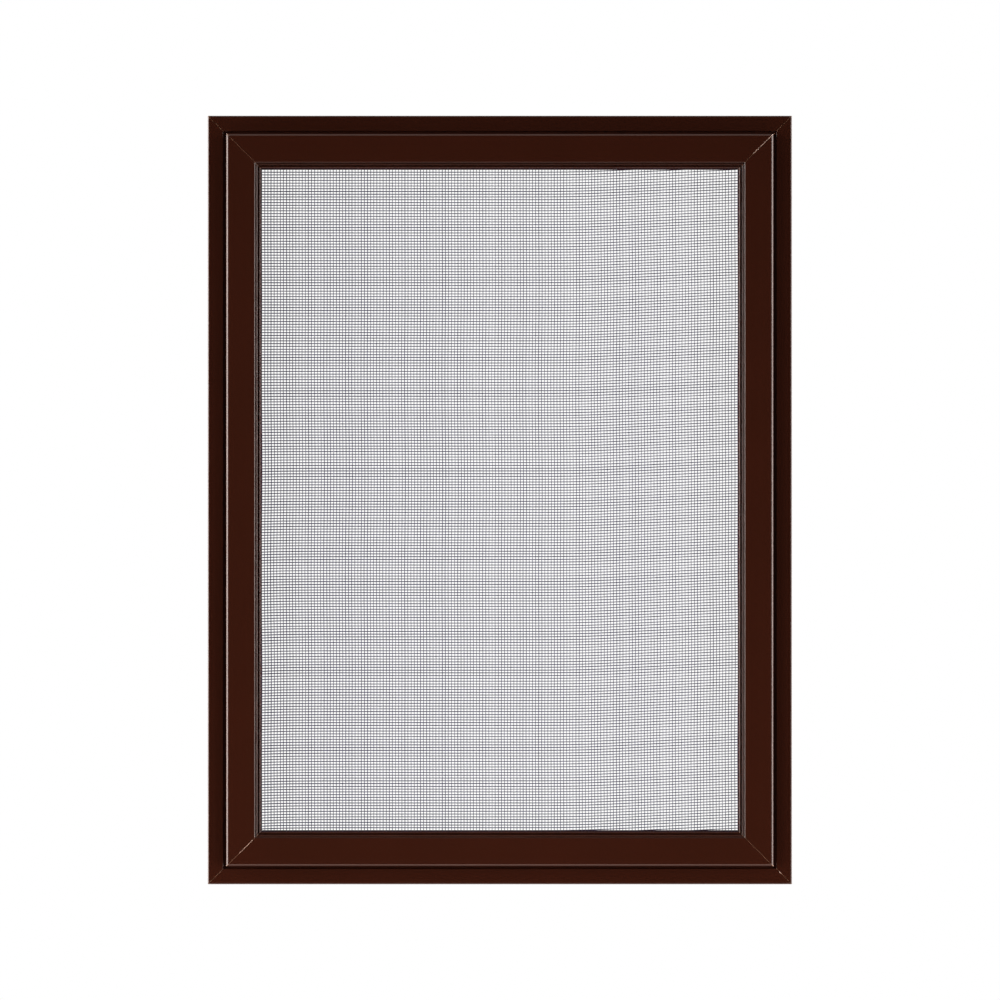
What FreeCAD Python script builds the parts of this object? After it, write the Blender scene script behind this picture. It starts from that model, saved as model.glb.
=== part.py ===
import FreeCAD
import Part
import math
import os

from FreeCAD import Vector

# Whole screen, over the flange
FRAME_W = 298.0
FRAME_H = 392.0

# Extruded rail: widths run from the outer edge to the opening, depths from the front or back
RAIL_D = 9.0
FLANGE_W = 10.25
FLANGE_T = 1.8
FOOT_GROOVE_W = 1.4
FOOT_GROOVE_D = 1.2
FOOT_LEDGE_W = 0.95
BODY_W = 14.9
WALL_T = 1.2
SEAM_W = 0.35
SEAM_D = 2.1
BEAD_W = 0.85
BEAD_SETBACK = 0.1
GROOVE_W = 0.75
GROOVE_D = 2.0
LIP_W = 0.6
LIP_SETBACK = 0.1

# Spline slot in the back of the rail, with a nib at its mouth
SLOT_W = 2.9
SLOT_D = 5.0
SLOT_LIP_T = 0.8
SLOT_LIP_SETBACK = 1.6
NIB_W = 0.3
NIB_D = 0.7

# Rounded edges of the extrusion
FACE_OUTER_R = 1.6
FACE_INNER_R = 0.85
BEAD_R = 0.35
LIP_R = 0.5
FLANGE_R = 0.9
FOOT_R = 0.4
FOOT_GROOVE_R = 0.15
BACK_R = 0.3
SLOT_LIP_R = 0.2
CHAMBER_R = 0.3
ROUND_SHARE = 0.96

# Moulded corner key, pushed into the hollow of both rails
KEY_FIT = 0.15
KEY_LEG = 32.0
KEY_SHOULDER = 3.0
KEY_BARBS = 4
KEY_BARB_H = 0.6
KEY_TIP = 3.0
KEY_TIP_TAPER = 1.5
KEY_CORE_W = 4.4
KEY_CORE_D = 4.0
KEY_CORE_END = 4.0

# Cloth, drawn as a plain grid with one bar for many strands, and turned into the slot round its edge
OPENINGS_ACROSS = 12
OPENINGS_UP = 16
BAR_W = 1.6
BAR_CREST = 0.6
BAR_RISE = 0.2
BAR_OVERLAP = 0.16
HEM_T = 0.3
CLOTH_FIT = 0.03
SPLINE_FIT = 0.05

# Places in the section that the pieces share
FOOT_GROOVE_IN = FLANGE_W - FOOT_LEDGE_W
FOOT_GROOVE_OUT = FOOT_GROOVE_IN - FOOT_GROOVE_W
FACE_END = FLANGE_W + BODY_W
BEAD_START = FACE_END + SEAM_W
BEAD_END = BEAD_START + BEAD_W
LIP_START = BEAD_END + GROOVE_W
RAIL_W = LIP_START + LIP_W
SLOT_IN = RAIL_W - SLOT_LIP_T
SLOT_OUT = SLOT_IN - SLOT_W
CHAMBER_OUT = FLANGE_W + WALL_T
CHAMBER_IN = SLOT_OUT - WALL_T
SPLINE_D = SLOT_W - HEM_T - CLOTH_FIT - 2 * SPLINE_FIT
SPLINE_ACROSS = SLOT_OUT + SPLINE_FIT + SPLINE_D / 2
SPLINE_FORWARD = SLOT_D - CLOTH_FIT - HEM_T - SPLINE_FIT - SPLINE_D / 2

# Side name: length of the rail, distance of its outer edge from the centre, turn about Y
SIDES = {
    "bottom": (FRAME_W, FRAME_H / 2, 0),
    "left": (FRAME_H, FRAME_W / 2, 90),
    "top": (FRAME_W, FRAME_H / 2, 180),
    "right": (FRAME_H, FRAME_W / 2, 270),
}

# Corner name: side along X, side along Z, turn about Y
CORNERS = {
    "bottom_left": (-1, -1, 0),
    "top_left": (-1, 1, 90),
    "top_right": (1, 1, 180),
    "bottom_right": (1, -1, 270),
}


def depth_y(forward):
    """Y of a place so far forward of the frame's back."""
    return RAIL_D / 2 - forward


def rounded_wire(corners):
    """Closed wire through (across, forward, radius) corners; rounds that meet on a short edge share it."""
    points = [Vector(0, depth_y(forward), across) for across, forward, radius in corners]
    starts = []
    arcs = []
    ends = []
    for i, (across, forward, radius) in enumerate(corners):
        here = points[i]
        back = points[i - 1] - here
        ahead = points[(i + 1) % len(points)] - here
        half_angle = back.getAngle(ahead) / 2
        reach = radius / math.tan(half_angle)
        for side, neighbour in ((back, corners[i - 1]), (ahead, corners[(i + 1) % len(corners)])):
            rounds = radius + neighbour[2]
            if rounds > 0:
                reach = min(reach, ROUND_SHARE * side.Length * radius / rounds)
        start = here + back.normalize() * reach
        end = here + ahead.normalize() * reach
        starts.append(start)
        ends.append(end)
        if reach > 0:
            inward = (back + ahead).normalize()
            to_arc = reach / math.cos(half_angle) - reach * math.tan(half_angle)
            arcs.append([Part.Arc(start, here + inward * to_arc, end).toShape()])
        else:
            arcs.append([])
    edges = []
    for i, arc in enumerate(arcs):
        edges.append(Part.makeLine(ends[i - 1], starts[i]))
        edges.extend(arc)
    return Part.Wire(edges)


def rail_section():
    """Grooved flange, hollow body, seam, bead, groove and lip in front, spline slot behind."""
    outside = [
        (0, 0, BACK_R),
        (SLOT_OUT + NIB_W, 0, BACK_R),
        (SLOT_OUT + NIB_W, NIB_D, 0),
        (SLOT_OUT, NIB_D + NIB_W, 0),
        (SLOT_OUT, SLOT_D, 0),
        (SLOT_IN, SLOT_D, 0),
        (SLOT_IN, SLOT_LIP_SETBACK, SLOT_LIP_R),
        (RAIL_W, SLOT_LIP_SETBACK, SLOT_LIP_R),
        (RAIL_W, RAIL_D - LIP_SETBACK, LIP_R),
        (LIP_START, RAIL_D - LIP_SETBACK, 0),
        (LIP_START, RAIL_D - GROOVE_D, 0),
        (BEAD_END, RAIL_D - GROOVE_D, 0),
        (BEAD_END, RAIL_D - BEAD_SETBACK, BEAD_R),
        (BEAD_START, RAIL_D - BEAD_SETBACK, BEAD_R),
        (BEAD_START, RAIL_D - SEAM_D, 0),
        (FACE_END, RAIL_D - SEAM_D, 0),
        (FACE_END, RAIL_D, FACE_INNER_R),
        (FLANGE_W, RAIL_D, FACE_OUTER_R),
        (FLANGE_W, FLANGE_T, FOOT_R),
        (FOOT_GROOVE_IN, FLANGE_T, 0),
        (FOOT_GROOVE_IN, FLANGE_T - FOOT_GROOVE_D, 0),
        (FOOT_GROOVE_OUT, FLANGE_T - FOOT_GROOVE_D, 0),
        (FOOT_GROOVE_OUT, FLANGE_T, FOOT_GROOVE_R),
        (0, FLANGE_T, FLANGE_R),
    ]
    chamber = [
        (CHAMBER_OUT, WALL_T, CHAMBER_R),
        (CHAMBER_IN, WALL_T, CHAMBER_R),
        (CHAMBER_IN, RAIL_D - WALL_T, CHAMBER_R),
        (CHAMBER_OUT, RAIL_D - WALL_T, CHAMBER_R),
    ]
    return Part.Face(rounded_wire(outside)).cut(Part.Face(rounded_wire(chamber)))


def flat_prism(points, back, front):
    """Outline of (x, z) points filled in depth from back to front, both measured from the frame's back."""
    loop = [Vector(x, depth_y(back), z) for x, z in points]
    return Part.Face(Part.makePolygon(loop + loop[:1])).extrude(Vector(0, back - front, 0))


def rectangle(half_x, half_z):
    """Corners of a rectangle round the frame's centre."""
    return [(-half_x, -half_z), (half_x, -half_z), (half_x, half_z), (-half_x, half_z)]


def rail(length, edge):
    """Rail along X with its outer edge below the centre, mitred at both ends."""
    bar = rail_section().extrude(Vector(length, 0, 0))
    bar.translate(Vector(-length / 2, 0, -edge))
    outer_half = length / 2
    inner_half = outer_half - RAIL_W
    inner_edge = RAIL_W - edge
    mitred = [(-outer_half, -edge), (outer_half, -edge), (inner_half, inner_edge), (-inner_half, inner_edge)]
    return bar.common(flat_prism(mitred, 0, RAIL_D))


def corner_key():
    """L-shaped key in the corner at zero, one leg along X and one along Z, barbed and cored from behind."""
    width = CHAMBER_IN - CHAMBER_OUT - 2 * KEY_FIT
    back = WALL_T + KEY_FIT
    front = RAIL_D - WALL_T - KEY_FIT
    first_barb = width + KEY_SHOULDER
    pitch = (KEY_LEG - KEY_TIP - first_barb) / KEY_BARBS
    rim = [(0, 0), (first_barb, 0)]
    for i in range(KEY_BARBS):
        root = first_barb + (i + 1) * pitch
        rim.append((root, KEY_BARB_H))
        if i < KEY_BARBS - 1:
            rim.append((root, 0))
    rim.append((KEY_LEG, KEY_TIP_TAPER))
    outline = rim + [(along, width - inset) for along, inset in reversed(rim)]
    core_low = (width - KEY_CORE_W) / 2
    core_high = (width + KEY_CORE_W) / 2
    core_end = KEY_LEG - KEY_CORE_END
    core = [(first_barb, core_low), (core_end, core_low), (core_end, core_high), (first_barb, core_high)]
    legs = []
    for upright in (False, True):
        leg_points = [(z, x) if upright else (x, z) for x, z in outline]
        core_points = [(z, x) if upright else (x, z) for x, z in core]
        leg = flat_prism(leg_points, back, front)
        legs.append(leg.cut(flat_prism(core_points, back, back + KEY_CORE_D)))
    key = legs[0].fuse(legs[1]).removeSplitter()
    key.translate(Vector(CHAMBER_OUT + KEY_FIT, 0, CHAMBER_OUT + KEY_FIT))
    return key


def spline(length, edge):
    """Round vinyl cord along X in the slot of the rail whose outer edge lies so far below the centre."""
    start = Vector(-length / 2, depth_y(SPLINE_FORWARD), SPLINE_ACROSS - edge)
    return Part.makeCylinder(SPLINE_D / 2, length, start, Vector(1, 0, 0))


def grid_bars(half_reach, half_length, openings):
    """Bars side by side along X over the reach, each pulled along Z, with their crests towards the front."""
    root = BAR_OVERLAP / 2
    crest = root + BAR_RISE
    half_root = BAR_W / 2
    half_crest = BAR_CREST * BAR_W / 2
    outline = [
        (-half_root, -root),
        (half_root, -root),
        (half_root, root),
        (half_crest, crest),
        (-half_crest, crest),
        (-half_root, root),
    ]
    first = half_root - half_reach
    pitch = -2 * first / openings
    bars = []
    for i in range(openings + 1):
        place = first + i * pitch
        loop = [Vector(place + x, -forward, -half_length) for x, forward in outline]
        bar_end = Part.Face(Part.makePolygon(loop + loop[:1]))
        bars.append(bar_end.extrude(Vector(0, 0, 2 * half_length)))
    return bars


def screen_cloth():
    """Upright bars in front and level bars behind, with a hem that lines the spline slot."""
    inner_x = FRAME_W / 2 - SLOT_IN + CLOTH_FIT
    inner_z = FRAME_H / 2 - SLOT_IN + CLOTH_FIT
    outer_x = inner_x + HEM_T
    outer_z = inner_z + HEM_T
    trim_x = FRAME_W / 2 - SLOT_OUT - SPLINE_FIT
    trim_z = FRAME_H / 2 - SLOT_OUT - SPLINE_FIT
    middle = SLOT_LIP_SETBACK - CLOTH_FIT - BAR_RISE - BAR_OVERLAP / 2
    floor = SLOT_D - CLOTH_FIT

    uprights = grid_bars(outer_x, outer_z, OPENINGS_ACROSS)
    levels = grid_bars(outer_z, outer_x, OPENINGS_UP)
    for bar in levels:
        bar.rotate(Vector(0, 0, 0), Vector(0, 1, 0), 90)
        bar.rotate(Vector(0, 0, 0), Vector(1, 0, 0), 180)
    grid = uprights[0].fuse(uprights[1:] + levels)
    grid.translate(Vector(0, depth_y(middle), 0))

    ground_back = middle - BAR_OVERLAP / 2
    opening = flat_prism(rectangle(inner_x, inner_z), ground_back, floor)
    wall = flat_prism(rectangle(outer_x, outer_z), ground_back, floor).cut(opening)
    turned_edge = flat_prism(rectangle(trim_x, trim_z), floor - HEM_T, floor).cut(opening)
    return grid.fuse([wall, turned_edge]).removeSplitter()


def turned(shape, angle):
    """The shape turned about the depth axis through the frame's centre."""
    shape.rotate(Vector(0, 0, 0), Vector(0, 1, 0), angle)
    return shape


def write(node, shape):
    """One file for each piece; a piece is one solid."""
    shape.Solids[0].exportStep("parts/" + node + ".step")


os.makedirs("parts", exist_ok=True)

for side, (length, edge, angle) in SIDES.items():
    write(side + "_rail", turned(rail(length, edge), angle))
    level_side = angle in (0, 180)
    corner_room = SLOT_OUT + SPLINE_FIT if level_side else SLOT_OUT + SPLINE_D + 3 * SPLINE_FIT
    write(side + "_spline", turned(spline(length - 2 * corner_room, edge), angle))

for corner, (side_x, side_z, angle) in CORNERS.items():
    key = turned(corner_key(), angle)
    key.translate(Vector(side_x * FRAME_W / 2, 0, side_z * FRAME_H / 2))
    write(corner + "_corner_key", key)

write("screen_mesh", screen_cloth())
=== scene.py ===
import math
import random

import bmesh
import bpy
from mathutils import Matrix, Vector


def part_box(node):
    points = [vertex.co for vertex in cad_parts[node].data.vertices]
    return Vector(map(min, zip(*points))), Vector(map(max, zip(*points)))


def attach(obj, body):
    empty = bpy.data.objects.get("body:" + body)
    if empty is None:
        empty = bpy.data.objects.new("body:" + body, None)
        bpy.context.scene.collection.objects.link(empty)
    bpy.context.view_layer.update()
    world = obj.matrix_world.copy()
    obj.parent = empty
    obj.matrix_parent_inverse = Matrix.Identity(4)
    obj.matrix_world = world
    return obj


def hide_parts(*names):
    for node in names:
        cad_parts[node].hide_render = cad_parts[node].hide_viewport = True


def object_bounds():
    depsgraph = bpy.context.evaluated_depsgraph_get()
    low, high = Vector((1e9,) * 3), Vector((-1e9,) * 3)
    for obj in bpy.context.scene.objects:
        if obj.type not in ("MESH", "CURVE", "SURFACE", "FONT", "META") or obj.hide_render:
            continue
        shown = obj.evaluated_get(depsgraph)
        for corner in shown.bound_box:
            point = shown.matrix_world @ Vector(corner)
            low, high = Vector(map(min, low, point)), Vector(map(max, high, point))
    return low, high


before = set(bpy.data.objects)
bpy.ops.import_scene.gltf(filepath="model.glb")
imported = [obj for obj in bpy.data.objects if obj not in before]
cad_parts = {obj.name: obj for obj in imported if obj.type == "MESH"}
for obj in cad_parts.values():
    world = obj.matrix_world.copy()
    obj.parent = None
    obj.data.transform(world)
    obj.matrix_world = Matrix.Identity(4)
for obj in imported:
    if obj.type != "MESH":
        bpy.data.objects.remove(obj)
cad_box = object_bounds()

# Rails: four lengths of one hollow aluminium extrusion, with a thin flange outside, a raised flat face, and a
# bead and a lip at the opening. Each is powder coated in the length, sawn at 45 degrees and pushed against
# the next over a hidden key.
MM = 0.001
rail_low, rail_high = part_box("bottom_rail")
FRAME_WIDTH = (rail_high.x - rail_low.x) / MM
FRAME_HEIGHT = -2 * rail_low.z / MM
RAIL_WIDTH = (rail_high.z - rail_low.z) / MM
RAIL_DEPTH = (rail_high.y - rail_low.y) / MM
FLANGE_WIDTH = 10.25
FLANGE_THICK = 1.8
FLANGE_ROUND = 0.9
FOOT_GROOVE_IN = 9.3
FOOT_GROOVE_OUT = 7.9
FOOT_GROOVE_FLOOR = FLANGE_THICK - 1.2
FOOT_GROOVE_ROUND = 0.15
FOOT_ROUND = 0.4
FACE_OUTER_ROUND = 1.6
FACE_END = 25.15
FACE_INNER_ROUND = 0.85
SEAM_FLOOR = RAIL_DEPTH - 2.1
BEAD_START = 25.5
BEAD_END = 26.35
BEAD_FRONT = RAIL_DEPTH - 0.1
BEAD_ROUND = 0.35
GROOVE_FLOOR = RAIL_DEPTH - 2.0
LIP_START = 27.1
LIP_FRONT = RAIL_DEPTH - 0.1
LIP_ROUND = 0.5
SLOT_INNER = RAIL_WIDTH - 0.8
SLOT_OUTER = SLOT_INNER - 2.9
SLOT_FLOOR = 5.0
SLOT_LIP_BACK = 1.6
SLOT_LIP_ROUND = 0.2
NIB = 0.3
NIB_DEPTH = 0.7
BACK_ROUND = 0.3
WALL = 1.2
HOLLOW_ROUND = 0.3
ROUND_STEPS = 6
CREASE = math.radians(35)
FACE_CUTS = 8
FLANGE_CUTS = 5
SAW_CHAMFER = 0.18
SAW_OVERLENGTH = 2.0
SAME_PLACE = 1e-4
ON_PLANE = 1e-5

# Corners of the section: distance in from the outer edge, distance forward of the back, and rounding
FACE_CORNER = (FACE_END, RAIL_DEPTH, FACE_INNER_ROUND)
FLANGE_CORNER = (FOOT_GROOVE_OUT, FLANGE_THICK, FOOT_GROOVE_ROUND)
SECTION = [
    (0, 0, BACK_ROUND),
    (SLOT_OUTER + NIB, 0, BACK_ROUND),
    (SLOT_OUTER + NIB, NIB_DEPTH, 0),
    (SLOT_OUTER, NIB_DEPTH + NIB, 0),
    (SLOT_OUTER, SLOT_FLOOR, 0),
    (SLOT_INNER, SLOT_FLOOR, 0),
    (SLOT_INNER, SLOT_LIP_BACK, SLOT_LIP_ROUND),
    (RAIL_WIDTH, SLOT_LIP_BACK, SLOT_LIP_ROUND),
    (RAIL_WIDTH, LIP_FRONT, LIP_ROUND),
    (LIP_START, LIP_FRONT, 0),
    (LIP_START, GROOVE_FLOOR, 0),
    (BEAD_END, GROOVE_FLOOR, 0),
    (BEAD_END, BEAD_FRONT, BEAD_ROUND),
    (BEAD_START, BEAD_FRONT, BEAD_ROUND),
    (BEAD_START, SEAM_FLOOR, 0),
    (FACE_END, SEAM_FLOOR, 0),
    FACE_CORNER,
    (FLANGE_WIDTH, RAIL_DEPTH, FACE_OUTER_ROUND),
    (FLANGE_WIDTH, FLANGE_THICK, FOOT_ROUND),
    (FOOT_GROOVE_IN, FLANGE_THICK, 0),
    (FOOT_GROOVE_IN, FOOT_GROOVE_FLOOR, 0),
    (FOOT_GROOVE_OUT, FOOT_GROOVE_FLOOR, 0),
    FLANGE_CORNER,
    (0, FLANGE_THICK, FLANGE_ROUND),
]
HOLLOW = [
    (FLANGE_WIDTH + WALL, WALL, HOLLOW_ROUND),
    (SLOT_OUTER - WALL, WALL, HOLLOW_ROUND),
    (SLOT_OUTER - WALL, RAIL_DEPTH - WALL, HOLLOW_ROUND),
    (FLANGE_WIDTH + WALL, RAIL_DEPTH - WALL, HOLLOW_ROUND),
]

# Spans along each mitre, measured in from the outer edge, given bright bare metal: partly where the saw and
# the fitting have broken the coating, partly painted highlight for the glints the mitre catches there
BARE_AND_GLINT_SPANS = {
    "top_left": [(8.0, 10.6)],
    "top_right": [(8.0, 20.5)],
    "bottom_left": [(8.0, 10.6), (16.6, 23.3)],
    "bottom_right": [(5.0, 6.5), (8.0, 10.6)],
}
# Chamfer finishes: coat, bare metal that is partly painted highlight, and worn coat that is partly painted
# sheen
COATED, BARE_AND_GLINT, WORN_AND_SHEEN = 0, 1, 2

# Side: length, distance of the outer edge from the middle, turn about Y, and the corners at its two ends
RAILS = {
    "bottom": (FRAME_WIDTH, FRAME_HEIGHT / 2, 0, "bottom_left", "bottom_right"),
    "left": (FRAME_HEIGHT, FRAME_WIDTH / 2, 90, "top_left", "bottom_left"),
    "top": (FRAME_WIDTH, FRAME_HEIGHT / 2, 180, "top_right", "top_left"),
    "right": (FRAME_HEIGHT, FRAME_WIDTH / 2, 270, "bottom_right", "top_right"),
}


def depth_y(forward):
    """Y of a place that far forward of the frame's flat back."""
    return RAIL_DEPTH / 2 - forward


def only(kind, parts):
    """The parts of that bmesh kind."""
    return [part for part in parts if isinstance(part, kind)]


def each_once(parts):
    """The parts without repeats, in an order that is the same each run."""
    return list(dict.fromkeys(parts))


def extruded_walls(bm, corners, length, edge, cuts):
    """The section pulled along X, its long edges rounded; cuts divides a side, named by its first corner."""
    ring = [bm.verts.new((-length / 2, depth_y(forward), across - edge)) for across, forward, _ in corners]
    sides = [bm.edges.new((ring[i], ring[(i + 1) % len(ring)])) for i in range(len(ring))]
    outline = list(sides)
    for corner, pieces in cuts.items():
        divided = bmesh.ops.subdivide_edges(bm, edges=[sides[corner]], cuts=pieces)
        outline += only(bmesh.types.BMEdge, divided["geom_split"])
    pulled = bmesh.ops.extrude_edge_only(bm, edges=each_once(outline))
    bmesh.ops.translate(bm, verts=only(bmesh.types.BMVert, pulled["geom"]), vec=(length, 0, 0))
    for across, forward, radius in corners:
        if radius:
            place = Vector((0, depth_y(forward), across - edge))
            long_edge = [
                e for e in bm.edges
                if e.calc_length() > length / 2
                and all((v.co - place).yz.length < SAME_PLACE for v in e.verts)
            ]
            bmesh.ops.bevel(
                bm, geom=long_edge, offset=radius, offset_type="OFFSET", segments=ROUND_STEPS, profile=0.5,
                affect="EDGES", clamp_overlap=False, material=-1,
            )


def sawn_rail(length, edge, bare_glint_spans_at_ends):
    """A rail along X with its outer edge low, mitred at both ends, with a fine chamfer round each saw cut."""
    bm = bmesh.new()
    bar = length + SAW_OVERLENGTH
    cuts = {SECTION.index(FACE_CORNER): FACE_CUTS, SECTION.index(FLANGE_CORNER): FLANGE_CUTS}
    extruded_walls(bm, SECTION, bar, edge, cuts)
    extruded_walls(bm, HOLLOW, bar, edge, {})
    for end, bare_glint_spans in zip((-1, 1), bare_glint_spans_at_ends):
        outward = Vector((end, 0, 1)).normalized()
        bmesh.ops.bisect_plane(
            bm, geom=bm.verts[:] + bm.edges[:] + bm.faces[:], dist=ON_PLANE,
            plane_co=(end * length / 2, 0, -edge), plane_no=outward, clear_outer=True,
        )
        rim = [e for e in bm.edges if e.is_boundary and e.verts[0].co.x * end > 0]
        filled = bmesh.ops.triangle_fill(bm, use_beauty=True, edges=rim, normal=outward)
        cut = only(bmesh.types.BMFace, filled["geom"])
        inset = bmesh.ops.inset_region(
            bm, faces=cut, thickness=SAW_CHAMFER, use_even_offset=True, use_boundary=True
        )
        chamfer = set(inset["faces"])
        on_cut = chamfer | {f for f in cut if f.is_valid}
        edge_verts = {v for f in chamfer for v in f.verts if any(g not in on_cut for g in v.link_faces)}
        bmesh.ops.translate(bm, verts=list(edge_verts), vec=(-end * SAW_CHAMFER, 0, 0))
        # Front chamfer faces get bare metal in the listed spans and worn coat elsewhere, both partly painted
        # highlight along the mitre
        for f in chamfer:
            middle = f.calc_center_median()
            across = middle.z + edge
            if middle.y < depth_y(FLANGE_THICK / 2):
                f.material_index = BARE_AND_GLINT if any(low < across < high for low, high in bare_glint_spans) else WORN_AND_SHEEN
            else:
                f.material_index = COATED
    bmesh.ops.recalc_face_normals(bm, faces=bm.faces)
    return bm


def linear(hex_colour):
    """Linear colour with alpha from an sRGB hex value."""
    channels = [int(hex_colour[i:i + 2], 16) / 255 for i in (1, 3, 5)]
    return (*(c / 12.92 if c <= 0.04045 else ((c + 0.055) / 1.055) ** 2.4 for c in channels), 1.0)


def wire(tree, node, inputs):
    """Gives each named input of a node a value or a link."""
    for socket, value in inputs.items():
        if isinstance(value, bpy.types.NodeSocket):
            tree.links.new(value, node.inputs[socket])
        else:
            node.inputs[socket].default_value = value


def add_node(tree, kind, inputs, **options):
    """Adds a node, sets its options, and gives each named input a value or a link."""
    node = tree.nodes.new(kind)
    for option, value in options.items():
        setattr(node, option, value)
    wire(tree, node, inputs)
    return node


def new_finish(name):
    """A material with its tree, its shader and its object coordinates."""
    finish = bpy.data.materials.new(name)
    finish.use_nodes = True
    tree = finish.node_tree
    place = add_node(tree, "ShaderNodeTexCoord", {}).outputs["Object"]
    return finish, tree, tree.nodes["Principled BSDF"], place


def noise(tree, place, size_mm, detail):
    """A noise pattern whose marks are that many millimetres wide."""
    settings = {"Vector": place, "Scale": 1 / (size_mm * MM), "Detail": detail}
    return add_node(tree, "ShaderNodeTexNoise", settings).outputs["Fac"]


def blend(tree, pattern, first, second):
    """The colour between two hex values that a pattern picks."""
    settings = {"Fac": pattern, "Color1": linear(first), "Color2": linear(second)}
    return add_node(tree, "ShaderNodeMixRGB", settings).outputs["Color"]


def relief(tree, pattern, height_mm, **under):
    """A surface that a pattern raises by that many millimetres, over another relief if one is given."""
    settings = {"Height": pattern, "Strength": 1.0, "Distance": height_mm * MM, **under}
    return add_node(tree, "ShaderNodeBump", settings).outputs["Normal"]


def new_piece(name, bm, slot, *finishes):
    """A smooth-shaded object on the one body from a bmesh in millimetres."""
    bmesh.ops.scale(bm, vec=(MM, MM, MM), verts=bm.verts)
    for f in bm.faces:
        f.smooth = True
    mesh = bpy.data.meshes.new(name)
    bm.to_mesh(mesh)
    bm.free()
    mesh.set_sharp_from_angle(angle=CREASE)
    for finish in finishes:
        mesh.materials.append(finish)
    piece = bpy.data.objects.new(name, mesh)
    bpy.context.scene.collection.objects.link(piece)
    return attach(piece, "root")


# Powder coat: polyester sprayed as powder and baked, which gives a satin skin with a faint orange peel. It
# hides the metal, but the fine lines of the extrusion die still show along the rail where light grazes it.
COAT_DARK = "#331407"
COAT_LIGHT = "#3a170a"
COAT_ROUGH = (0.22, 0.28)
COAT_IOR = 1.58
CLOUD_MM = 40
PEEL_MM = 1.6
PEEL_HEIGHT_MM = 0.006
DIE_LINE_MM = 0.5
DIE_LINE_LENGTH = 80
DIE_LINE_HEIGHT_MM = 0.003


def powder_coat(name, squeeze):
    """Coat on a rail; squeeze shortens the pattern's coordinates along it, so that die lines run that way."""
    finish, tree, shader, place = new_finish(name)
    cloud = noise(tree, place, CLOUD_MM, 4.0)
    peel = noise(tree, place, PEEL_MM, 2.0)
    rough = add_node(
        tree, "ShaderNodeMapRange", {"Value": peel, "To Min": COAT_ROUGH[0], "To Max": COAT_ROUGH[1]}
    )
    lengthwise = add_node(tree, "ShaderNodeMapping", {"Vector": place, "Scale": squeeze})
    drawn = relief(tree, noise(tree, lengthwise.outputs["Vector"], DIE_LINE_MM, 3.0), DIE_LINE_HEIGHT_MM)
    wire(tree, shader, {
        "Base Color": blend(tree, cloud, COAT_DARK, COAT_LIGHT),
        "Roughness": rough.outputs["Result"],
        "Normal": relief(tree, peel, PEEL_HEIGHT_MM, Normal=drawn),
        "IOR": COAT_IOR,
    })
    return finish


# Sawn aluminium: bright bare metal where the coat broke away at the saw cut, its near-white colour partly a
# painted highlight for the glints there. The teeth have roughened it, so it glints softly and not as a
# mirror, and handling has clouded it.
BARE_METAL_GLINT = "#f4e6dc"
BARE_METAL_GLINT_DULL = "#d0b5a4"
SAW_MARK_MM = 0.4
bare_metal_and_glint, tree, shader, place = new_finish("sawn_aluminium_painted_glint")
bare_and_glint_colour = blend(tree, noise(tree, place, SAW_MARK_MM, 2.0), BARE_METAL_GLINT_DULL, BARE_METAL_GLINT)
wire(tree, shader, {"Base Color": bare_and_glint_colour, "Metallic": 0.2, "Roughness": 0.5})

# Worn edge: on every front chamfer of the mitres the coat is rubbed thin over the sawn edge and the metal
# shows through it; its lighter brownish grey is partly a painted sheen for the light the chamfers catch, so
# that each mitre reads as a dull brownish grey line.
WORN_SHEEN_BROWN = "#6e4e3a"
WORN_SHEEN_GREY = "#9a7f68"
worn_edge_and_sheen, tree, shader, place = new_finish("coat_worn_painted_sheen")
worn_and_sheen_colour = blend(tree, noise(tree, place, SAW_MARK_MM, 2.0), WORN_SHEEN_BROWN, WORN_SHEEN_GREY)
wire(tree, shader, {"Base Color": worn_and_sheen_colour, "Metallic": 0.5, "Roughness": 0.5})

level_coat = powder_coat("brown_powder_coat_level", (1 / DIE_LINE_LENGTH, 1, 1))
upright_coat = powder_coat("brown_powder_coat_upright", (1, 1, 1 / DIE_LINE_LENGTH))
for side, (length, edge, turn, first_corner, second_corner) in RAILS.items():
    bm = sawn_rail(length, edge, (BARE_AND_GLINT_SPANS[first_corner], BARE_AND_GLINT_SPANS[second_corner]))
    turned = Matrix.Rotation(math.radians(turn), 3, "Y")
    bmesh.ops.rotate(bm, cent=(0, 0, 0), matrix=turned, verts=bm.verts)
    coat = level_coat if turn in (0, 180) else upright_coat
    rail = new_piece(side + "_rail_extrusion", bm, "brown_powder_coat", coat, bare_metal_and_glint, worn_edge_and_sheen)
    flat_faces = rail.modifiers.new("flat_faces", "WEIGHTED_NORMAL")
    flat_faces.keep_sharp = True
    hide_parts(side + "_rail")

# Corner keys: angles moulded in black nylon and driven into the hollow of both rails, where their barbs hold
# the corner shut. The mould leaves a fine matt grain.
KEY_BLACK = "#1c1c1d"
KEY_GREY = "#262628"
KEY_GRAIN_MM = 0.35
KEY_GRAIN_HEIGHT_MM = 0.01
key_nylon, tree, shader, place = new_finish("moulded_nylon")
grain = noise(tree, place, KEY_GRAIN_MM, 3.0)
wire(tree, shader, {
    "Base Color": blend(tree, grain, KEY_BLACK, KEY_GREY),
    "Normal": relief(tree, grain, KEY_GRAIN_HEIGHT_MM),
    "Roughness": 0.55,
})
for node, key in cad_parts.items():
    if node.endswith("corner_key"):
        key.data.materials.clear()
        key.data.materials.append(key_nylon)

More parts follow.
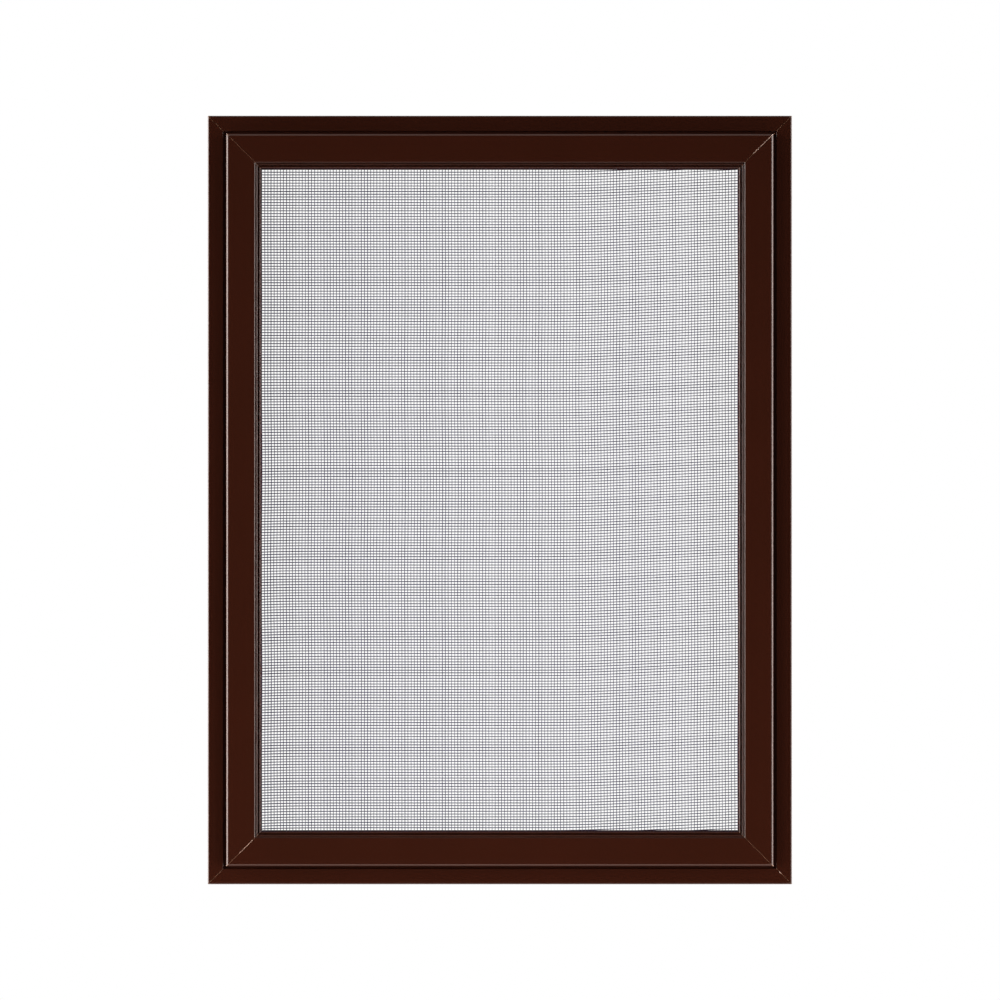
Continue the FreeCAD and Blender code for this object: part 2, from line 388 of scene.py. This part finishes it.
# Insect mesh: glass-fibre yarn coated with charcoal vinyl, 16 upright yarns and 18 level ones to the inch.
# Level yarns weave over and under the straight upright ones, and heat has fused each crossing. Real yarn is
# about 0.28 mm thick; it is drawn heavier, so that it shows as dark as it does in the photograph.
PITCH_ACROSS = 25.4 / 16
PITCH_UP = 25.4 / 18
UPRIGHT_HALF = 0.178
LEVEL_HALF_WIDE = 0.225
LEVEL_HALF_THICK = 0.10
CRIMP = 0.17
UPRIGHT_SIDES = 6
LEVEL_SIDES = 4
UPRIGHT_YARNS = 162
LEVEL_YARNS = 248
SPARE_LEVEL_YARNS = 4
MIDDLE_UPRIGHT = (UPRIGHT_YARNS - 1) / 2
MIDDLE_LEVEL = (LEVEL_YARNS - 1) / 2

# The cloth turns over the slot's lip on a small bend, runs down the slot's wall and out along its floor
CLOTH_CREST = 0.28
CLOTH_MIDDLE_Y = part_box("screen_mesh")[1].y / MM - CLOTH_CREST
LIP_CLEARANCE = 0.18
BEND = 0.3
QUARTER = BEND * math.pi / 2
TUCK_WALL = 2.93
TUCK_FLOOR = 2.32
TUCK = 2 * QUARTER + TUCK_WALL + TUCK_FLOOR
TUCK_SQUEEZE = 0.35
TRIM_SLACK = 0.01
FLAT_X = FRAME_WIDTH / 2 - SLOT_INNER + LIP_CLEARANCE - BEND
FLAT_Z = FRAME_HEIGHT / 2 - SLOT_INNER + LIP_CLEARANCE - BEND
CUT_Z = FLAT_Z + TUCK

# Woven unevenly: chance shift of a yarn, waves of girth as a share over so many yarns, and a coat that thins
# from left to right
SHIFT = 0.02
UPRIGHT_STREAKS = ((0.08, 6.2), (0.06, 4.3), (0.06, 2.4), (0.04, 30.0))
LEVEL_STREAKS = ((0.04, 10.0), (0.03, 14.3), (0.03, 6.7))
THINNING = 0.09

# Pulled in unevenly: level yarns climb towards the right rail, and droop a little at the lower left
CLIMB = 0.0525
CLIMB_FROM = 42.0
CLIMB_EASE = 7.0
DROOP = 0.65
DROOP_REACH = 11.0
DROOP_FROM_Z = 90.0
DROOP_FULL_Z = -60.0

# Upright yarns stray sideways in two waves: reach, length up, length across and start of each
STRAYS = ((0.14, 15.0, math.inf, 0.8), (0.10, 24.0, 60.0, 2.1))
STRAY_STEP = 12.0
chance = random.Random(18)


def yarn_row(count, streaks):
    """Shift and girth of each yarn in a row, with the streaks of girth that the loom leaves."""
    waves = [(swell, 2 * math.pi / yarns, chance.uniform(0, 2 * math.pi)) for swell, yarns in streaks]
    return [
        (chance.gauss(0, SHIFT), 1 + sum(swell * math.sin(turn * i + start) for swell, turn, start in waves))
        for i in range(count)
    ]


upright_row = yarn_row(UPRIGHT_YARNS, UPRIGHT_STREAKS)
level_row = yarn_row(LEVEL_YARNS + 2 * SPARE_LEVEL_YARNS, LEVEL_STREAKS)


def coat_girth(x):
    """Girth that the coat gives a yarn there."""
    return 1 - THINNING * x / FLAT_X


def climb(x, z):
    """How far a level yarn is pulled up or down from its true line."""
    rise = CLIMB * CLIMB_EASE * math.log1p(math.exp((x - CLIMB_FROM) / CLIMB_EASE))
    share = min(1, max(0, (DROOP_FROM_Z - z) / (DROOP_FROM_Z - DROOP_FULL_Z)))
    return rise - DROOP * share * math.exp(-(x + FLAT_X) / DROOP_REACH)


def stray(x, z):
    """How far an upright yarn strays sideways between the rails that hold it."""
    free = max(0, 1 - (z / FLAT_Z) ** 4)
    return free * sum(reach * math.sin(z / up + x / across + start) for reach, up, across, start in STRAYS)


def tucked(over):
    """Out, back and lean of cloth that lies so far past the edge of its flat part, along its own surface."""
    if over < QUARTER:
        lean = over / BEND
        return BEND * math.sin(lean), BEND * (math.cos(lean) - 1), lean
    over -= QUARTER
    if over < TUCK_WALL:
        return BEND, -BEND - over, math.pi / 2
    over -= TUCK_WALL
    if over < QUARTER:
        turn = over / BEND
        return BEND * (2 - math.cos(turn)), -BEND - TUCK_WALL - BEND * math.sin(turn), math.pi / 2 - turn
    return 2 * BEND + over - QUARTER, -2 * BEND - TUCK_WALL, 0


def tuck_in(v):
    """Moves a vertex of the flat cloth to its place in the tucked one; its Y is its height on the cloth."""
    x, height, z = v.co
    over_x = abs(x) - FLAT_X
    over_z = abs(z) - FLAT_Z
    over = max(over_x, over_z)
    if over <= 0:
        v.co.y = CLOTH_MIDDLE_Y + height
        return
    height *= 1 - (1 - TUCK_SQUEEZE) * min(1, over / BEND)
    out, back, lean = tucked(over)
    reach = out + height * math.sin(lean)
    if over_x > over_z:
        v.co.x = math.copysign(FLAT_X + reach, x)
    else:
        v.co.z = math.copysign(FLAT_Z + reach, z)
    v.co.y = CLOTH_MIDDLE_Y + back + height * math.cos(lean)


def bend_stops(flat):
    """Places along a yarn where the tucked cloth bends."""
    ends = [flat, flat + QUARTER / 2, flat + QUARTER, flat + QUARTER + TUCK_WALL]
    ends += [flat + 1.5 * QUARTER + TUCK_WALL, flat + 2 * QUARTER + TUCK_WALL, flat + TUCK]
    return [-end for end in ends] + ends


def straight_yarn(bm, sides, ring, stops, along):
    """One yarn of that ring with a joint at each stop."""
    circle = bmesh.ops.create_circle(
        bm, cap_ends=False, segments=sides, radius=1, matrix=Matrix.Translation(along * stops[0]) @ ring
    )
    edges = each_once(e for v in circle["verts"] for e in v.link_edges)
    for before, here in zip(stops, stops[1:]):
        pulled = bmesh.ops.extrude_edge_only(bm, edges=edges)["geom"]
        edges = only(bmesh.types.BMEdge, pulled)
        bmesh.ops.translate(bm, vec=along * (here - before), verts=only(bmesh.types.BMVert, pulled))


def laid_side_by_side(bm, step, count):
    """Repeats what is in the bmesh in a row."""
    bmesh.ops.spin(
        bm, geom=bm.verts[:] + bm.edges[:] + bm.faces[:], cent=(0, 0, 0), axis=(0, 1, 0), dvec=step, angle=0,
        steps=count - 1, use_duplicate=True,
    )


def close_ends(bm):
    """Closes every open end and turns all faces outward."""
    bmesh.ops.holes_fill(bm, edges=[e for e in bm.edges if e.is_boundary], sides=0)
    bmesh.ops.recalc_face_normals(bm, faces=bm.faces)


def trim_and_tuck(bm):
    """Cuts away yarn past the cloth's edge or in its notched corners, closes the ends and tucks them in."""
    waste = [
        v for v in bm.verts
        if abs(v.co.z) > CUT_Z + TRIM_SLACK
        or abs(v.co.x) > FLAT_X + TRIM_SLACK and abs(v.co.z) > FLAT_Z + TRIM_SLACK
    ]
    bmesh.ops.delete(bm, geom=waste, context="VERTS")
    close_ends(bm)
    for v in bm.verts:
        tuck_in(v)


def upright_yarns():
    """All the upright yarns, unevenly spaced and straying a little."""
    bm = bmesh.new()
    runs = int(2 * FLAT_Z / STRAY_STEP)
    stops = sorted([(i / runs - 0.5) * 2 * FLAT_Z for i in range(1, runs)] + bend_stops(FLAT_Z))
    ring = Matrix.Diagonal((UPRIGHT_HALF, UPRIGHT_HALF, 1, 1))
    straight_yarn(bm, UPRIGHT_SIDES, ring, stops, Vector((0, 0, 1)))
    bmesh.ops.translate(bm, verts=bm.verts, vec=(-MIDDLE_UPRIGHT * PITCH_ACROSS, 0, 0))
    laid_side_by_side(bm, (PITCH_ACROSS, 0, 0), UPRIGHT_YARNS)
    for v in bm.verts:
        yarn = round(v.co.x / PITCH_ACROSS + MIDDLE_UPRIGHT)
        centre = (yarn - MIDDLE_UPRIGHT) * PITCH_ACROSS
        shift, girth = upright_row[yarn]
        girth *= coat_girth(centre)
        v.co.x = centre + girth * (v.co.x - centre) + shift + stray(centre, v.co.z)
    trim_and_tuck(bm)
    return bm


def level_yarns(first, count):
    """So many level yarns from the first, weaving over and under the upright ones."""
    bm = bmesh.new()
    crossings = [(i - MIDDLE_UPRIGHT) * PITCH_ACROSS for i in range(UPRIGHT_YARNS)]
    stops = sorted([x for x in crossings if abs(x) < FLAT_X] + bend_stops(FLAT_X))
    flattened = Matrix.Diagonal((LEVEL_HALF_WIDE, LEVEL_HALF_THICK, 1, 1))
    ring = Matrix.Rotation(math.pi / 2, 4, "Y") @ flattened
    straight_yarn(bm, LEVEL_SIDES, ring, stops, Vector((1, 0, 0)))
    bmesh.ops.translate(bm, verts=bm.verts, vec=(0, 0, (first - MIDDLE_LEVEL) * PITCH_UP))
    laid_side_by_side(bm, (0, 0, PITCH_UP), count)
    for v in bm.verts:
        yarn = round(v.co.z / PITCH_UP + MIDDLE_LEVEL)
        centre = (yarn - MIDDLE_LEVEL) * PITCH_UP
        shift, girth = level_row[yarn + SPARE_LEVEL_YARNS]
        over_under = math.sin(math.pi * v.co.x / PITCH_ACROSS) * (1 if yarn % 2 else -1)
        v.co.y += CRIMP * over_under
        girth *= coat_girth(v.co.x)
        v.co.z = centre + girth * (v.co.z - centre) + shift + climb(v.co.x, centre)
    trim_and_tuck(bm)
    return bm


# Vinyl coat on the yarn: charcoal with a cool cast, dipped and baked. It is slightly glossy, and uneven in
# thickness along each yarn, which shows as darker and lighter patches.
YARN_DARK = "#262943"
YARN_LIGHT = "#3e436e"
YARN_PATCH_MM = 3.0
yarn_vinyl, tree, shader, place = new_finish("charcoal_vinyl_on_glass_fibre")
yarn_colour = blend(tree, noise(tree, place, YARN_PATCH_MM, 3.0), YARN_DARK, YARN_LIGHT)
wire(tree, shader, {"Base Color": yarn_colour, "Roughness": 0.45})

half_levels = LEVEL_YARNS // 2
cloth = {
    "upright_yarns": upright_yarns(),
    "lower_level_yarns": level_yarns(-SPARE_LEVEL_YARNS, half_levels + SPARE_LEVEL_YARNS),
    "upper_level_yarns": level_yarns(half_levels, half_levels),
}
uprights, lower_levels, upper_levels = [
    new_piece(name, bm, "glass_fibre_mesh", yarn_vinyl) for name, bm in cloth.items()
]
for piece in (uprights, lower_levels, upper_levels):
    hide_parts("screen_mesh")

# Spline: soft black vinyl cord, extruded with close ribs round it and rolled into the slot, where it grips
# the cloth's edge. It is matt, and dust greys it in patches.
SPLINE_SIDES = 12
RIB_PITCH = 1.3
RIB_DEPTH = 0.09
SPLINE_BLACK = "#151414"
SPLINE_DUST = "#242221"
SPLINE_PATCH_MM = 2.0
spline_vinyl, tree, shader, place = new_finish("black_vinyl")
spline_colour = blend(tree, noise(tree, place, SPLINE_PATCH_MM, 5.0), SPLINE_BLACK, SPLINE_DUST)
wire(tree, shader, {"Base Color": spline_colour, "Roughness": 0.6})
for side in RAILS:
    low, high = (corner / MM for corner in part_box(side + "_spline"))
    size = high - low
    upright = size.z > size.x
    length = size.z if upright else size.x
    radius = size.y / 2
    ribs = 2 * round(length / RIB_PITCH)
    bm = bmesh.new()
    circle = bmesh.ops.create_circle(
        bm, cap_ends=False, segments=SPLINE_SIDES, radius=radius,
        matrix=Matrix.Translation((0, 0, -length / 2)),
    )
    edges = each_once(e for v in circle["verts"] for e in v.link_edges)
    bmesh.ops.spin(
        bm, geom=circle["verts"] + edges, cent=(0, 0, 0), axis=(0, 0, 1), dvec=(0, 0, length / ribs), angle=0,
        steps=ribs, use_duplicate=False,
    )
    for v in bm.verts:
        if round((v.co.z + length / 2) * ribs / length) % 2 == 0:
            v.co.xy *= 1 - RIB_DEPTH / radius
    close_ends(bm)
    if not upright:
        bmesh.ops.rotate(bm, cent=(0, 0, 0), matrix=Matrix.Rotation(math.pi / 2, 3, "Y"), verts=bm.verts)
    bmesh.ops.translate(bm, verts=bm.verts, vec=(low + high) / 2)
    cord = new_piece(side + "_ribbed_spline", bm, "vinyl_spline", spline_vinyl)
    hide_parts(side + "_spline")

# Studio: the screen hangs in front of seamless white. On each side a tall soft light, mostly behind it, draws
# its outer edges, and two in front, narrowed by grids, reach across to the far rail. A weak strip above and a
# bounce off the floor light the level edges.
FLOOR_DROP = 0.12
FLOOR_SPREAD = 6.0
FLOOR_WHITE = "#ffffff"
bm = bmesh.new()
bmesh.ops.create_grid(
    bm, x_segments=1, y_segments=1, size=FLOOR_SPREAD,
    matrix=Matrix.Translation((0, 0, cad_box[0].z - FLOOR_DROP)),
)
floor_mesh = bpy.data.meshes.new("studio_floor")
bm.to_mesh(floor_mesh)
bm.free()
floor = bpy.data.objects.new("studio_floor", floor_mesh)
bpy.context.scene.collection.objects.link(floor)
floor_white, tree, shader, place = new_finish("white_acrylic_lit_from_below")
lit = add_node(tree, "ShaderNodeEmission", {"Color": linear(FLOOR_WHITE), "Strength": 1.0})
tree.links.new(lit.outputs["Emission"], tree.nodes["Material Output"].inputs["Surface"])
tree.nodes.remove(shader)
floor_mesh.materials.append(floor_white)
floor.visible_diffuse = False
floor.visible_glossy = False
floor.visible_shadow = False

SIDE_WHITE = "#fff4ee"
LEVEL_WARM = "#ffdccc"
NO_GRID = 180

# Light at each side: distance out, forward and down from the middle, width and height, watts at the left and
# at the right, degrees turned back and tilted down, and spread
SIDE_LIGHTS = {
    "side_softbox": (0.62, -0.08, 0.12, 0.52, 1.3, (14.5, 8.0), 0, 0, NO_GRID),
    "cross_softbox": (0.7, 0.3, 0.12, 0.25, 1.0, (1.85, 1.85), 4, 5, 63),
    "front_softbox": (0.5, 0.7, 0.12, 0.2, 0.7, (0.7, 0.7), 27, 6, 66),
}

# Light above or below: place, width and height, watts
LEVEL_LIGHTS = {
    "strip_softbox": (Vector((0, -0.25, 0.75)), 0.7, 0.25, 0.8),
    "floor_bounce": (Vector((0, -0.35, -0.75)), 2.0, 0.3, 4.8),
}


def softbox(name, place, aim, width, height, watts, spread, colour):
    """A soft rectangular light out of the camera's sight; a grid narrows it to a spread below 180 degrees."""
    lamp = bpy.data.lights.new(name, "AREA")
    lamp.shape = "RECTANGLE"
    lamp.size = width
    lamp.size_y = height
    lamp.energy = watts
    lamp.spread = math.radians(spread)
    lamp.color = linear(colour)[:3]
    light = bpy.data.objects.new(name, lamp)
    light.location = place
    light.rotation_euler = Vector(aim).to_track_quat("-Z", "Y").to_euler()
    light.visible_camera = False
    bpy.context.scene.collection.objects.link(light)


for sign in (-1, 1):
    for name, (out, forward, drop, width, height, watts, turn, tilt, spread) in SIDE_LIGHTS.items():
        aim = (-sign, math.tan(math.radians(turn)), -math.tan(math.radians(tilt)))
        place = (sign * out, -forward, -drop)
        softbox(name, place, aim, width, height, watts[sign > 0], spread, SIDE_WHITE)
for name, (place, width, height, watts) in LEVEL_LIGHTS.items():
    softbox(name, place, -place, width, height, watts, NO_GRID, LEVEL_WARM)

# The room is dark in front of the screen and behind it, so that flat faces mirror little, and pale all round
DARK_SIDE = 0.02
PALE_SIDE = 0.4
DARK_FROM = 0.7
world = bpy.data.worlds.new("white_sweep")
world.use_nodes = True
tree = world.node_tree
tree.nodes.clear()
way = add_node(tree, "ShaderNodeTexCoord", {}).outputs["Generated"]
depthwise = add_node(tree, "ShaderNodeSeparateXYZ", {"Vector": way}).outputs["Y"]
off_plane = add_node(tree, "ShaderNodeMath", {0: depthwise}, operation="ABSOLUTE").outputs["Value"]
glow = add_node(
    tree, "ShaderNodeMapRange",
    {"Value": off_plane, "From Max": DARK_FROM, "To Min": PALE_SIDE, "To Max": DARK_SIDE},
).outputs["Result"]
seen = add_node(tree, "ShaderNodeLightPath", {}).outputs["Is Camera Ray"]
room = add_node(tree, "ShaderNodeBackground", {"Color": linear(FLOOR_WHITE), "Strength": glow})
white = add_node(tree, "ShaderNodeBackground", {"Color": linear(FLOOR_WHITE), "Strength": 1.0})
sweep = add_node(tree, "ShaderNodeMixShader", {"Fac": seen, 1: room.outputs[0], 2: white.outputs[0]})
add_node(tree, "ShaderNodeOutputWorld", {"Surface": sweep.outputs[0]})
bpy.context.scene.world = world
bpy.context.scene.view_settings.view_transform = "Standard"

# Camera: level and straight on, as in the photograph, far enough back for a long lens.
CAMERA_DISTANCE = 1.158
CAMERA_ASIDE = 0.00008
VIEW_ACROSS = 0.5102
SENSOR_MM = 36.0
camera_data = bpy.data.cameras.new("camera")
camera_data.sensor_width = SENSOR_MM
camera_data.lens = SENSOR_MM * CAMERA_DISTANCE / VIEW_ACROSS
camera = bpy.data.objects.new("camera", camera_data)
camera.location = (CAMERA_ASIDE, cad_box[1].y - FLANGE_THICK / 2 * MM - CAMERA_DISTANCE, 0)
camera.rotation_euler = (math.pi / 2, 0, 0)
bpy.context.scene.collection.objects.link(camera)
bpy.context.scene.camera = camera
